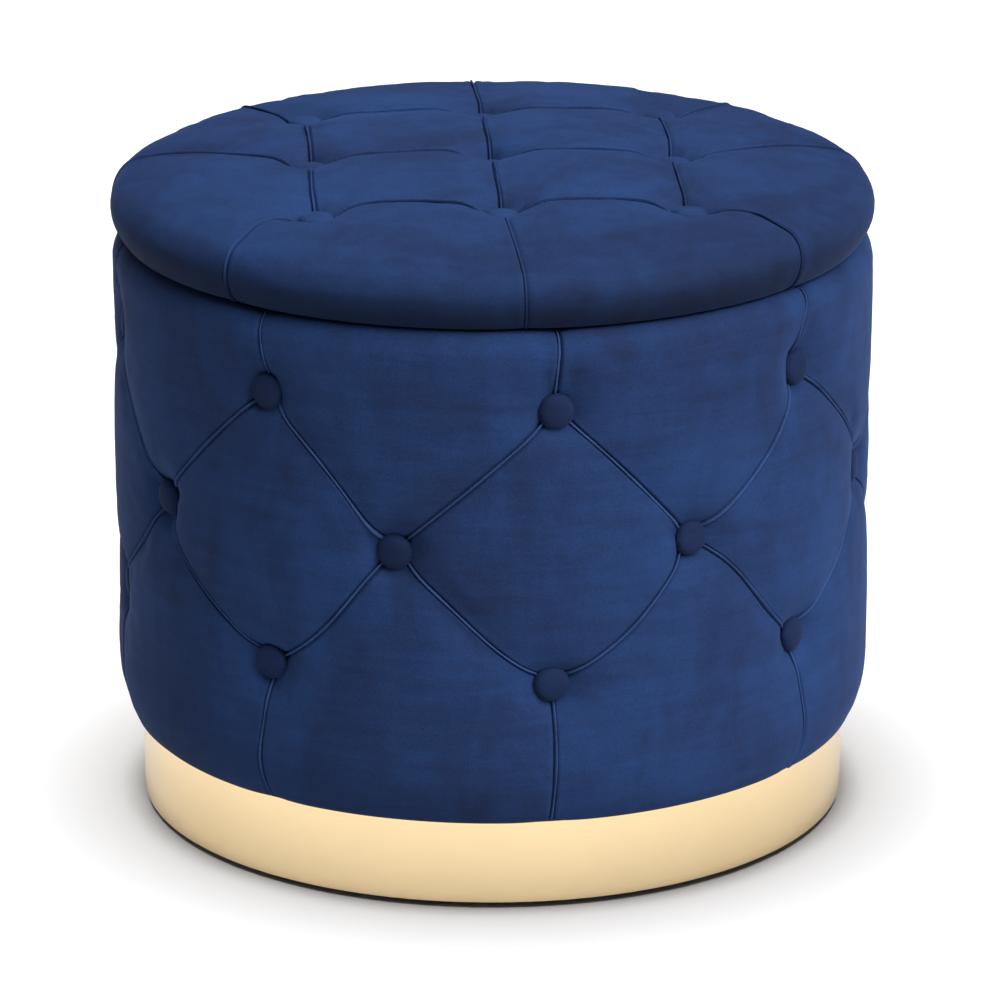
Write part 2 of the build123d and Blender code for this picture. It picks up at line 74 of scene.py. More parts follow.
COVER_LOW, COVER_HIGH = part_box("side_cover")
LID_LOW, LID_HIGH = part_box("lid_cover")
DRUM_RADIUS = COVER_HIGH.x
HEM_Z = COVER_LOW.z
RIM_Z = COVER_HIGH.z
PLINTH_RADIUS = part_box("plinth_ring_upper")[1].x
SHELL_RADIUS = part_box("wall_shell")[1].x
STORAGE_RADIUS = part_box("floor_lining")[1].x
LID_RADIUS = LID_HIGH.x
LID_HEM_Z = LID_LOW.z
LID_TOP_Z = LID_HIGH.z
BUTTON_RADIUS = (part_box("lid_button_5")[1].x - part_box("lid_button_5")[0].x) / 2
LID_BUTTON_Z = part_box("lid_button_5")[0].z
SIDE_BUTTON_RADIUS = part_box("side_buttons_upper")[1].x


def middle(node):
    low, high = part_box(node)
    return (low + high) / 2


ROWS = ("lower", "middle", "upper")
ROW_Z = [middle(f"side_buttons_{row}").z for row in ROWS]
COLUMNS = 8
HALF_STEP = math.pi / COLUMNS
FRONT = -math.pi / 2
GRID_X = middle("lid_button_6") - middle("lid_button_5")
LID_SPACING = Vector((GRID_X.x, GRID_X.y)).length
LID_TURN = math.atan2(GRID_X.y, GRID_X.x)

# ---------------- cloth

CLOTH = 0.0012
TUCK_HALF_WIDTH = 0.00074
TUCK_HEIGHT = 0.0031
LID_TUCK_HEIGHT = 0.0037
TRENCH_DEPTH = 0.0021
TRENCH_WIDTH = 0.00148

# How many times wider the trench is beside some pleats: those that rise to the right on the drum, and
# those that run across the photograph's view on the lid.
RISING_TRENCH = 1.7
CROSS_TRENCH = 1.5

TUCK_REACH = 0.006
CUP_RADIUS = 0.0105
CUP_RISE = 0.0115
LID_CUP_RISE = 0.0098
SIDE_BUTTON_PULL = 0.0118
SIDE_BUTTON_PUFF = 0.18
LID_BUTTON_PUFF = 0.5
PLEAT_DRIFT_REACH = 0.024
BUTTON_DRIFT_REACH = 0.045

# Kinds of pleat: depth midway, how fast the cloth rises beside it, and how deep each end pulls.
UPRIGHT_PLEAT = (0.0022, 0.0075, (1.2, 0))
DIAGONAL_PLEAT = (0.0027, 0.0085, (0.9, 0.9))
LID_RING_PLEAT = (0.0011, 0.010, (2.5, 2.5))
LID_MIDDLE_PLEAT = (0.0016, 0.010, (2.5, 2.5))
LID_OUTER_PLEAT = (0.0014, 0.009, (3.0, 0))

PANEL_LINES = 38
LINE_CROWDING = 8.0
LINE_REACH = 0.028
FOAM_LINES = 16
FOAM_GAP = 0.0010

# ---------------- cloth simulation

# The coarse copy is held within HELD_REACH of a pleat. Its movement is capped at SIM_CAP, less SIM_INSET,
# so the panels crown midway and lie a little deeper along the pleats.
SIM_LINES = 18
SIM_FRAMES = 20
SIM_PRESSURE = 4.0
SIM_POINT_MASS = 0.002
SIM_SLACK = 0.004
SIM_CAP = 0.0016
SIM_INSET = 0.0008
SIM_REACH = 0.0035
HELD_REACH = 0.0020


def crowding_curve():
    """Even steps along a panel against the share of its grid lines passed, densest at both ends."""
    across = np.linspace(0, 1, 2001)
    edge = np.minimum(across, 1 - across)
    density = 1 + LINE_CROWDING * np.exp(-((edge / LINE_REACH) ** 2))
    passed = np.concatenate([[0], np.cumsum((density[1:] + density[:-1]) / 2)])
    return across, passed / passed[-1]


PANEL_ACROSS, LINES_PASSED = crowding_curve()


def crowded(t):
    """Grid lines drawn towards whole numbers, where the pleats are."""
    whole = np.floor(t)
    return whole + np.interp(t - whole, LINES_PASSED, PANEL_ACROSS)


def evenly_spaced(t):
    """Grid lines left where they are, for the coarse copy that is simulated."""
    return t


def arc(centre, radius, start, end, steps=40):
    turn = np.linspace(start, end, steps)
    return [(centre[0] + radius * math.cos(a), centre[1] + radius * math.sin(a)) for a in turn]


class Profile:
    """A cover's cross-section: radius and height against the distance along it."""

    def __init__(self, points, softness=0.0016, step=0.0005):
        points = np.array(points)
        length = np.concatenate([[0], np.cumsum(np.linalg.norm(np.diff(points, axis=0), axis=1))])
        self.length = length[-1]
        self.along = np.linspace(0, self.length, int(self.length / step))
        even = np.stack([np.interp(self.along, length, points[:, i]) for i in (0, 1)], 1)
        reach = np.arange(-12, 13)
        kernel = np.exp(-0.5 * (reach * step / softness) ** 2)
        kernel /= kernel.sum()
        before = 2 * even[0] - even[12:0:-1]
        after = 2 * even[-1] - even[-2:-14:-1]
        padded = np.concatenate([before, even, after])
        self.points = np.stack([np.convolve(padded[:, i], kernel, "valid") for i in (0, 1)], 1)
        slope = np.gradient(self.points, self.along, axis=0)
        slope /= np.linalg.norm(slope, axis=1)[:, None]
        self.normals = np.stack([slope[:, 1], -slope[:, 0]], 1)

    def at(self, distance):
        """Radius, height and outward normal at each distance."""
        return [np.interp(distance, self.along, column) for column in (*self.points.T, *self.normals.T)]

    def where(self, height, radius_above):
        """Distance at which the outside first reaches a height."""
        outside = self.points[:, 0] > radius_above
        index = np.argmin(np.where(outside, np.abs(self.points[:, 1] - height), 9))
        return self.along[index]


class Skin:
    """A tufted cover: pleats and buttons drawn on its unrolled cloth, and the cloth laid on its profile."""

    def __init__(self, profile, wrap, tuck_height, cup_rise):
        self.profile = profile
        self.wrap = wrap
        self.tuck_height = tuck_height
        self.cup_rise = cup_rise
        self.pleats = []
        self.buttons = []
        self.held_beyond = (0.0, profile.length)
        self.puffed = None

    def apart(self, a, b):
        """Vectors from b to a on the unrolled cloth, the short way round."""
        gap = a - b
        if self.wrap:
            gap[..., 0] = (gap[..., 0] + self.wrap / 2) % self.wrap - self.wrap / 2
        return gap

    def pleat(self, points, depth, width, ends, bow=0.0, sway=0.0, crispness=1.0, gap=1.0):
        """A pleat along a line: depth midway, how fast the cloth rises beside it, how deep its ends pull,
        how it bends sideways, how crisply its tuck stands, and how wide the trench beside the tuck is."""
        line = np.array(points, float)
        made = {"points": line, "depth": depth, "width": width, "ends": ends}
        made.update({"bow": bow, "sway": sway, "crispness": crispness, "gap": gap})
        self.pleats.append(made)

    def button(self, place, depth, puff, shift=0.0):
        """A button: how deep it draws the cloth in, how far the panels puff over its rim, and its
        sideways shift."""
        place = np.array(place, float)
        self.buttons.append({"place": place, "depth": depth, "puff": puff, "shift": shift})

    def nearest(self, where, line):
        """Distance to a line of points, and the share of its length at the nearest point."""
        best = np.full(len(where), 9.0)
        share = np.zeros(len(where))
        steps = len(line) - 1
        for index in range(steps):
            span = line[index + 1] - line[index]
            gap = self.apart(where, line[index])
            t = np.clip(gap @ span / (span @ span), 0, 1)
            distance = np.linalg.norm(gap - t[:, None] * span, axis=1)
            closer = distance < best
            best = np.where(closer, distance, best)
            share = np.where(closer, (index + t) / steps, share)
        return best, share

    def drawn_in(self, where, trenches=True):
        """How far the cloth lies under the profile: valleys, dimples, and a narrow trench for each tuck."""
        total = np.zeros(len(where))
        trench = np.zeros(len(where))
        nearest_pleat = np.full(len(where), 9.0)
        for p in self.pleats:
            distance, share = self.nearest(where, p["points"])
            nearest_pleat = np.minimum(nearest_pleat, distance)
            ditch = TRENCH_DEPTH * p["crispness"] * np.exp(-((distance / TRENCH_WIDTH / p["gap"]) ** 4))
            trench = np.maximum(trench, ditch)
            start, end = p["ends"]
            depth = p["depth"] * (1 + start * (1 - share) ** 3 + end * share**3)
            valley = depth * np.exp(-((distance / p["width"]) ** 0.9))
            total += valley**3
        clear_of_pleats = 1 - np.exp(-((nearest_pleat / TUCK_REACH) ** 2))
        for b in self.buttons:
            distance = np.linalg.norm(self.apart(where, b["place"]), axis=1)
            beyond = np.maximum(distance - CUP_RADIUS, 0)
            dimple = b["depth"] * np.exp(-((beyond / self.cup_rise) ** 1.15))
            total += (dimple * (1 - b["puff"] * clear_of_pleats)) ** 3
        return total ** (1 / 3) + (trench if trenches else TRENCH_DEPTH)

    def drift(self, where):
        """Sideways shift of the cloth that bends each pleat into its bow, and carries the panels with it."""
        shift = np.zeros_like(where)
        for p in self.pleats:
            if not (p["bow"] or p["sway"]):
                continue
            line = p["points"]
            across = line[-1] - line[0]
            across = np.array([-across[1], across[0]]) / np.linalg.norm(across)
            distance, share = self.nearest(where, line)
            bend = p["bow"] * np.sin(np.pi * share) + p["sway"] * np.sin(2 * np.pi * share)
            shift += (bend * np.exp(-((distance / PLEAT_DRIFT_REACH) ** 2)))[:, None] * across
        for b in self.buttons:
            if b["shift"]:
                distance = np.linalg.norm(self.apart(where, b["place"]), axis=1)
                shift[:, 0] += b["shift"] * np.exp(-((distance / BUTTON_DRIFT_REACH) ** 2))
        return shift

    def angle_and_distance(self, where):
        if self.wrap:
            return FRONT + where[:, 0] / DRUM_RADIUS, where[:, 1]
        return np.arctan2(where[:, 1], where[:, 0]) + LID_TURN, np.hypot(where[:, 0], where[:, 1])

    def lay(self, where, under=0.0):
        """Points in space for points of the cloth, or of the foam under it, and the way out at each."""
        angle, distance = self.angle_and_distance(where + self.drift(where))
        radius, height, out, up = self.profile.at(distance)
        depth = self.drawn_in(where, trenches=not under) + under
        radius = radius - depth * out
        height = height - depth * up
        points = np.stack([radius * np.cos(angle), radius * np.sin(angle), height], 1)
        normals = np.stack([out * np.cos(angle), out * np.sin(angle), up], 1)
        if self.puffed:
            points = points + self.puff_at(points)
        return points, normals

    def held(self, where):
        """True where the cloth is fixed: on its pleats, under its buttons, and beyond its hems."""
        along = where[:, 1] if self.wrap else np.hypot(where[:, 0], where[:, 1])
        fixed = (along < self.held_beyond[0]) | (along > self.held_beyond[1])
        for p in self.pleats:
            fixed |= self.nearest(where, p["points"])[0] < HELD_REACH
        for b in self.buttons:
            fixed |= np.linalg.norm(self.apart(where, b["place"]), axis=1) < CUP_RADIUS + 0.002
        return fixed

    def puff(self, where, faces):
        """Blow the cover out with a cloth simulation of a coarse copy, and keep how far each point moved."""
        points, normals = self.lay(where)
        fixed = self.held(where)
        moved = simulated(points, normals, faces, fixed) - points
        length = np.linalg.norm(moved, axis=1)
        moved *= (SIM_CAP * np.tanh(length / SIM_CAP) / np.maximum(length, 1e-9))[:, None]
        moved -= SIM_INSET * normals * ~fixed[:, None]
        tree = KDTree(len(points))
        for index, point in enumerate(points):
            tree.insert(point, index)
        tree.balance()
        self.puffed = (tree, moved)

    def puff_at(self, points):
        """The simulated movement at any points, blended from the nearest points of the coarse copy."""
        tree, moved = self.puffed
        found = [tree.find_n(point, 8) for point in points]
        index = np.array([[number for _, number, _ in near] for near in found])
        gap = np.array([[distance for _, _, distance in near] for near in found])
        share = np.exp(-((gap / SIM_REACH) ** 2)) + 1e-6
        share /= share.sum(1)[:, None]
        return (share[:, :, None] * moved[index]).sum(1)


# ---------------- mesh helpers


def mesh_object(name, points, faces, smooth=True):
    mesh = bpy.data.meshes.new(name)
    mesh.from_pydata([tuple(p) for p in points], [], [tuple(int(i) for i in f) for f in faces])
    mesh.update()
    if smooth:
        mesh.polygons.foreach_set("use_smooth", [True] * len(mesh.polygons))
    made = bpy.data.objects.new(name, mesh)
    bpy.context.scene.collection.objects.link(made)
    return made


def finished(piece, body, slot, material, *nodes):
    """Give a piece its body and material, and hide the CAD nodes that it stands for; the slot argument is
    not used.
    """
    piece.data.materials.clear()
    piece.data.materials.append(material)
    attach(piece, body)
    if nodes:
        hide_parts(*nodes)
    return piece


def thicken(piece, thickness):
    """Turn a single layer into a closed cloth, growing inwards."""
    solid = piece.modifiers.new("cloth", "SOLIDIFY")
    solid.thickness = thickness
    solid.offset = -1
    solid.use_even_offset = False
    apply_modifiers(piece)


def apply_modifiers(piece):
    graph = bpy.context.evaluated_depsgraph_get()
    done = bpy.data.meshes.new_from_object(piece.evaluated_get(graph))
    piece.modifiers.clear()
    piece.data = done


def join_pieces(name, objects):
    """One object from several, for like parts that share a node."""
    for other in bpy.context.selected_objects:
        other.select_set(False)
    for part in objects:
        part.select_set(True)
    bpy.context.view_layer.objects.active = objects[0]
    bpy.ops.object.join()
    objects[0].name = name
    objects[0].data.name = name
    return objects[0]


def grid_faces(rows, columns, offset):
    """Quads between the rows of an open grid of points."""
    faces = []
    for row in range(rows - 1):
        for column in range(columns - 1):
            a = offset + row * columns + column
            b = a + columns
            faces.append((a, a + 1, b + 1, b))
    return faces


def tube_faces(rows, columns):
    """Quads of a ring-shaped solid: every row closes on itself, and the last row meets the first."""
    faces = []
    for row in range(rows):
        a = row * columns
        b = (row + 1) % rows * columns
        for column in range(columns):
            nxt = (column + 1) % columns
            faces.append((a + column, a + nxt, b + nxt, b + column))
    return faces


def simulated(points, normals, faces, fixed):
    """Where each point of a cover ends up under pressure from its filling, with its fixed points held."""
    turned = []
    for face in faces:
        a, b, c = (points[i] for i in face[:3])
        outward = np.cross(b - a, c - a) @ normals[face[0]] > 0
        turned.append(face if outward else face[::-1])
    sheet = mesh_object("cloth_copy", points, turned)
    group = sheet.vertex_groups.new(name="fixed")
    group.add([int(i) for i in np.flatnonzero(fixed)], 1.0, "REPLACE")
    cloth = sheet.modifiers.new("pressure", "CLOTH")
    cloth.settings.quality = 4
    cloth.settings.mass = SIM_POINT_MASS
    cloth.settings.air_damping = 2.0
    cloth.settings.bending_stiffness = 0.05
    cloth.settings.use_pressure = True
    cloth.settings.uniform_pressure_force = SIM_PRESSURE
    cloth.settings.shrink_min = -SIM_SLACK
    cloth.settings.vertex_group_mass = "fixed"
    cloth.settings.effector_weights.gravity = 0
    cloth.point_cache.frame_start = 1
    cloth.point_cache.frame_end = SIM_FRAMES
    scene = bpy.context.scene
    for number in range(1, SIM_FRAMES + 1):
        scene.frame_set(number)
    graph = bpy.context.evaluated_depsgraph_get()
    mesh = sheet.evaluated_get(graph).data
    moved = np.array([v.co for v in mesh.vertices])
    scene.frame_set(1)
    bpy.data.objects.remove(sheet)
    return moved


# ---------------- drum cover


RIM_TURN_IN = 0.040


def drum_profile():
    hem_round = 0.089
    hem_height = 0.041
    hem_centre = (DRUM_RADIUS - hem_round, HEM_Z + hem_height)
    rim_round = 0.0205
    rim_height = 0.0165
    rim_centre = (DRUM_RADIUS - rim_round, RIM_Z - rim_height)
    inside = STORAGE_RADIUS - 0.0015
    points = [(PLINTH_RADIUS - 0.037, HEM_Z)]
    points += arc(hem_centre, hem_round, -math.asin(hem_height / hem_round), 0)
    points += arc(rim_centre, rim_round, 0, math.asin(rim_height / rim_round))
    points += [(inside, RIM_Z), (inside, RIM_Z - RIM_TURN_IN)]
    return Profile(points)


# How far each pleat bends to its left and sways, in millimetres, for the three columns of buttons in
# front: the two diagonals up from the lower button, the two down from the upper one, and the uprights
# below and above.
PLEAT_BOWS = {
    -1: ((8.0, -2.0), (-6.0, -2.0), (-2.0, 0.0), (2.5, 0.8), (-3.0, 2.0), (0.5, -1.0)),
    0: ((4.0, 1.8), (-9.0, -0.6), (-1.0, 0.4), (2.5, 0.3), (1.5, 0.0), (-2.6, 1.3)),
    1: ((1.0, 3.0), (-4.0, 0.5), (9.5, 0.7), (4.0, -1.5), (3.5, -3.0), (0.0, 4.0)),
}


def side_button_angles(row):
    """Angle of each of a row's buttons, from the front column round to the right, as the CAD places them."""
    verts = np.array([v.co[:2] for v in frame["nodes"][f"side_buttons_{row}"].data.vertices])
    even = FRONT + HALF_STEP * (row == "middle") + 2 * HALF_STEP * np.arange(COLUMNS)
    angles = []
    for angle in even:
        aside = np.arctan2(verts[:, 1], verts[:, 0]) - angle
        aside = (aside + math.pi) % (2 * math.pi) - math.pi
        near = aside[np.abs(aside) < HALF_STEP / 2]
        angles.append(angle + (near.min() + near.max()) / 2)
    return even, np.array(angles)


def side_button_shifts(row):
    """How far along the cloth each button is from even spacing."""
    even, angles = side_button_angles(row)
    return DRUM_RADIUS * (angles - even)


def usual_bows():
    """Bends of the pleats on a column that the photograph doesn't show: the diagonals sag a little."""
    sag = RANDOM.uniform(1, 8, 4)
    lean = RANDOM.uniform(-3, 3, 2)
    sway = RANDOM.uniform(-2, 2, 6)
    bow = [sag[0], -sag[1], sag[2], -0.5 * sag[3], lean[0], lean[1]]
    return list(zip(bow, sway))


def make_drum_skin():
    profile = drum_profile()
    skin = Skin(profile, 2 * math.pi * DRUM_RADIUS, TUCK_HEIGHT, CUP_RISE)
    skin.rows = [profile.where(z, DRUM_RADIUS - 0.001) for z in ROW_Z]
    skin.hem = profile.where(HEM_Z + 0.001, DRUM_RADIUS - 0.015)
    skin.rim = profile.where(RIM_Z - 0.001, DRUM_RADIUS - 0.012)
    skin.held_beyond = (skin.hem, skin.rim)
    step = DRUM_RADIUS * HALF_STEP
    lower, mid, upper = skin.rows
    shifts = {row: side_button_shifts(row) for row in ROWS}
    for column in range(-3, COLUMNS - 3):
        x = 2 * column * step
        bows = PLEAT_BOWS.get(column) or usual_bows()
        ends = [(x - step, mid), (x + step, mid), (x - step, mid), (x + step, mid)]
        ends += [(x, skin.hem - 0.006), (x, skin.rim + 0.020)]
        starts = [(x, lower), (x, lower), (x, upper), (x, upper), (x, lower), (x, upper)]
        for k, (start, end, (bow, sway)) in enumerate(zip(starts, ends, bows)):
            depth, width, pull = UPRIGHT_PLEAT if k >= 4 else DIAGONAL_PLEAT
            gap = RISING_TRENCH if k in (1, 2) else 1.0
            skin.pleat([start, end], depth, width, pull, bow / 1000, sway / 1000, gap=gap)
        for row, place in zip(ROWS, ((x, lower), (x + step, mid), (x, upper))):
            skin.button(place, SIDE_BUTTON_PULL, SIDE_BUTTON_PUFF, shifts[row][column % COLUMNS])
    return skin


def drum_grid(skin, lines, placed=crowded):
    """Grid of the unrolled drum cloth: rows up the side, slanted between the outer button rows."""
    count = COLUMNS * lines
    step = DRUM_RADIUS * HALF_STEP
    j = np.arange(count)
    lower, mid, upper = skin.rows
    spacing = 2 * step / lines
    rows = []
    below = np.linspace(0, lower, int(lower / spacing) + 1)[:-1]
    for distance in below:
        rows.append(np.stack([2 * placed(j / lines) * step, np.full(count, distance)], 1))
    first_slanted = len(rows)
    for k in range(2 * lines + 1):
        u = placed((j + k) / lines)
        v = placed(j / lines)
        rise = np.interp(u - v, [0, 1, 2], [lower, mid, upper])
        rows.append(np.stack([(u + v) * step, rise], 1))
    last_slanted = len(rows) - 1
    above = np.linspace(upper, skin.profile.length, int((skin.profile.length - upper) / spacing) + 1)[1:]
    for distance in above:
        rows.append(np.stack([(2 * placed(j / lines) + 2) * step, np.full(count, distance)], 1))
    faces = []
    for row in range(len(rows) - 1):
        a = row * count
        b = a + count
        c = b + count
        for column in range(count):
            nxt = (column + 1) % count
            if first_slanted <= row < last_slanted:
                if row == first_slanted:
                    faces.append((a + column, a + nxt, b + column))
                if row + 1 < last_slanted:
                    faces.append((b + column, a + nxt, b + nxt, c + column))
                else:
                    faces.append((b + column, a + nxt, b + nxt))
            else:
                faces.append((a + column, a + nxt, b + nxt, b + column))
    return np.concatenate(rows), faces


# ---------------- lid cover


def lid_profile():
    hem_inset = 0.008
    hem_height = 0.018
    widest = LID_HEM_Z + hem_height
    hem_round = (hem_inset**2 + hem_height**2) / (2 * hem_inset)
    shoulder = 0.019
    shoulder_x = LID_RADIUS - shoulder
    rise = LID_TOP_Z - widest
    crown = (shoulder_x**2 + rise**2 - shoulder**2) / (2 * (rise - shoulder))
    turn = math.asin(shoulder_x / (crown - shoulder))
    points = arc((0, LID_TOP_Z - crown), crown, math.pi / 2, math.pi / 2 - turn, 80)
    points += arc((shoulder_x, widest), shoulder, math.pi / 2 - turn, 0)
    points += arc((LID_RADIUS - hem_round, widest), hem_round, 0, -math.asin(hem_height / hem_round))
    underside_hem = 0.184
    points += [(underside_hem, LID_HEM_Z)]
    made = Profile(points)
    made.normals = -made.normals
    return made


# The outer pleats in the lid's own grid, in millimetres, starting at the front left corner and going
# round by the front, the right and the back: where each heads for as it leaves its button, where it
# comes from as it reaches the rim, the direction of its end in degrees, its sideways bow and sway, and
# how crisp it is.
OUTER_PLEATS = [
    ((-160, -119), (-166, -150), -135.2, 0.0, -5.0, 1.0),
    ((2, -165), (6, -215), -88.4, 0.0, 0.0, 0.35),
    ((162, -118), (176, -128), -42.4, -1.0, 5.0, 1.0),
    ((150, -12), (238, 120), -5.0, 0.0, 0.0, 1.0),
    ((145, 112), (160, 160), 46.0, 0.0, 0.0, 1.0),
    ((-1, 165), (0, 215), 90.0, 0.0, 0.0, 0.8),
    ((-140, 128), (-150, 165), 129.0, 0.0, 0.0, 1.0),
    ((-150, -2), (-240, 125), 184.0, 0.0, 0.0, 1.0),
]
# Sideways bow and sway, in millimetres, of each pleat from an outer button to the next one, going round
# from the front left corner, and the bow of the pleat to the middle button where there is one.
INNER_BOWS = [
    (10.0, 3.0, 0),
    (9.5, -0.5, 1.5),
    (1.5, 0, 0),
    (-1.0, 0, 1.0),
    (1.0, 0, 0),
    (1.0, 0, -1.5),
    (1.0, 0, 0),
    (-1.5, 0, -1.0),
]


def make_lid_skin():
    profile = lid_profile()
    skin = Skin(profile, 0, LID_TUCK_HEIGHT, LID_CUP_RISE)
    widest = profile.along[np.argmax(profile.points[:, 0])]
    skin.hem = widest + 0.024
    a = LID_SPACING
    corners = [(-a, -a), (0, -a), (a, -a), (a, 0), (a, a), (0, a), (-a, a), (-a, 0)]
    skin.corners = [np.array(corner) for corner in corners]
    for i in range(8):
        start = skin.corners[i]
        nxt = skin.corners[(i + 1) % 8]
        ring_bow, ring_sway, centre_bow = INNER_BOWS[i]
        ring_gap = CROSS_TRENCH if i in (0, 1, 4, 5) else 1.0
        side_gap = CROSS_TRENCH if i in (3, 7) else 1.0
        bow, sway = ring_bow / 1000, ring_sway / 1000
        skin.pleat([start, nxt], *LID_RING_PLEAT, bow, sway, gap=ring_gap)
        if i % 2 == 1:
            skin.pleat([start, (0, 0)], *LID_MIDDLE_PLEAT, centre_bow / 1000, gap=side_gap)
        bow, sway, crispness = OUTER_PLEATS[i][3:]
        line = outer_pleat(i, start, skin.hem)
        skin.pleat(line, *LID_OUTER_PLEAT, bow / 1000, sway / 1000, crispness, side_gap)
    for place in [*corners, (0, 0)]:
        height = np.interp(math.hypot(*place), profile.along, profile.points[:, 1])
        skin.button(place, height - LID_BUTTON_Z - 0.0005, LID_BUTTON_PUFF)
    skin.held_beyond = (0, skin.hem - 0.002)
    return skin


def outer_pleat(i, start, reach):
    """Line of an outer pleat, from its button to the hem, as points on the unrolled cloth."""
    leaving, arriving, heading = OUTER_PLEATS[i][:3]
    heading = math.radians(heading)
    end = reach * np.array([math.cos(heading), math.sin(heading)])
    t = np.linspace(0, 1, 17)[:, None]
    leaving = np.array(leaving) / 1000
    arriving = np.array(arriving) / 1000
    return (1 - t) ** 3 * start + 3 * t * (1 - t) ** 2 * leaving + 3 * t**2 * (1 - t) * arriving + t**3 * end


def lid_grid(skin, lines, placed=crowded):
    """Grid of the unrolled lid cloth: four squares, and eight panels between the outer pleats."""
    spacing = skin.corners[2][0]
    across = placed(np.linspace(0, 1, lines + 1))
    points = []
    faces = []

    def patch(inner, outer, left, right, rows):
        """A four-sided patch whose sides are curves; the grid crowds towards its pleats."""
        low, high = inner(across), outer(across)
        near, far = left(rows), right(rows)
        s, t = across[None, :, None], rows[:, None, None]
        blend = (1 - t) * low[None] + t * high[None] + (1 - s) * near[:, None] + s * far[:, None]
        blend -= (1 - s) * (1 - t) * low[0] + s * (1 - t) * low[-1]
        blend -= (1 - s) * t * high[0] + s * t * high[-1]
        offset = sum(len(p) for p in points)
        points.append(blend.reshape(-1, 2))
        faces.extend(grid_faces(len(rows), lines + 1, offset))

    def line(a, b):
        return lambda t: a[None] + (b - a)[None] * t[:, None]

    for x in (-spacing, 0):
        for y in (-spacing, 0):
            a, b = np.array([x, y]), np.array([x + spacing, y])
            c, d = a + [0, spacing], b + [0, spacing]
            patch(line(a, b), line(c, d), line(a, c), line(b, d), across)
    edge = math.ceil((skin.hem - spacing) / spacing * lines)
    rows = np.linspace(0, 1, edge + 1) ** 1.15
    for i in range(8):
        a, b = skin.corners[i], skin.corners[(i + 1) % 8]
        near = outer_pleat(i, a, skin.hem)
        far = outer_pleat((i + 1) % 8, b, skin.hem)
        turn_a = math.atan2(near[-1][1], near[-1][0])
        turn_b = math.atan2(far[-1][1], far[-1][0])
        turn_b += 2 * math.pi * (turn_b < turn_a)

        def on_rim(s, low=turn_a, high=turn_b, reach=skin.hem):
            turn = low + (high - low) * s
            return reach * np.stack([np.cos(turn), np.sin(turn)], 1)

        def along(curve):
            share = np.linspace(0, 1, len(curve))
            return lambda t: np.stack([np.interp(t, share, curve[:, k]) for k in (0, 1)], 1)

        patch(line(a, b), on_rim, along(near), along(far), rows)
        under = np.linspace(skin.hem, skin.profile.length, 14)
        offset = sum(len(p) for p in points)
        points.append(np.concatenate([on_rim(across, reach=r) for r in under]))
        faces.extend(grid_faces(len(under), lines + 1, offset))
    return np.concatenate(points), faces


# ---------------- pin tucks


def tuck(skin, pleat, start=0.0, end=1.0, spacing=0.0022):
    """The stitched fold that stands along a pleat: a closed strip, slightly uneven, sunk in the valley."""
    line = pleat["points"]
    length = np.linalg.norm(np.diff(line, axis=0), axis=1).sum()
    count = max(12, int(length * (end - start) / spacing))
    share = np.linspace(start, end, count)
    knots = np.linspace(0, 1, len(line))
    where = np.stack([np.interp(share, knots, line[:, k]) for k in (0, 1)], 1)
    points, normals = skin.lay(where)
    along = np.gradient(points, axis=0)
    along /= np.linalg.norm(along, axis=1)[:, None]
    across = np.cross(along, normals)
    across /= np.linalg.norm(across, axis=1)[:, None]
    outward = np.cross(across, along)
    phase = RANDOM.uniform(0, 2 * np.pi, 4)
    lean = 0.25 * RANDOM.uniform(-1, 1) + 0.18 * np.sin(share * 5 + phase[0])
    if pleat["gap"] > 1:
        lean = 0.4 * lean
    uneven = 0.10 * np.sin(share * 19 + phase[1]) + 0.06 * np.sin(share * 41 + phase[2])
    width = TUCK_HALF_WIDTH * (1 + uneven)
    crisp = pleat["crispness"]
    height = TRENCH_DEPTH * crisp + (skin.tuck_height - TRENCH_DEPTH) * crisp**0.5
    rise = height * (1 + 0.10 * np.sin(share * 13 + phase[3]))
    half = [(0, 1.0), (0.55, 0.93), (0.9, 0.74), (1.0, 0.52), (0.86, 0.30), (0.62, 0.08), (0.62, -0.9)]
    section = [(-x, y) for x, y in reversed(half[1:])] + half
    rows = []
    for x, y in section:
        offset = (x * width + lean * max(y, 0) * rise)[:, None] * across + (y * rise)[:, None] * outward
        rows.append(points + offset)
    verts = np.concatenate(rows)
    size = len(section)
    faces = []
    for a in range(size):
        b = (a + 1) % size
        for i in range(count - 1):
            faces.append((a * count + i, b * count + i, b * count + i + 1, a * count + i + 1))
    faces.append([a * count for a in range(size)])
    faces.append([a * count + count - 1 for a in reversed(range(size))])
    return verts, faces


def tucks(name, skin, spans):
    """All of a skin's tucks in one mesh."""
    points, faces, offset = [], [], 0
    for pleat, (start, end) in zip(skin.pleats, spans):
        verts, quads = tuck(skin, pleat, start, end)
        points.append(verts)
        faces.extend([[i + offset for i in f] for f in quads])
        offset += len(verts)
    made = mesh_object(name, np.concatenate(points), faces)
    fix_normals(made)
    return made


def fix_normals(piece):
    work = bmesh.new()
    work.from_mesh(piece.data)
    bmesh.ops.remove_doubles(work, verts=work.verts, dist=1e-6)
    bmesh.ops.recalc_face_normals(work, faces=work.faces)
    work.to_mesh(piece.data)
    work.free()


# ---------------- covered buttons

SIDE_BUTTON_DOME = 0.0050
LID_BUTTON_BACK = 0.0023


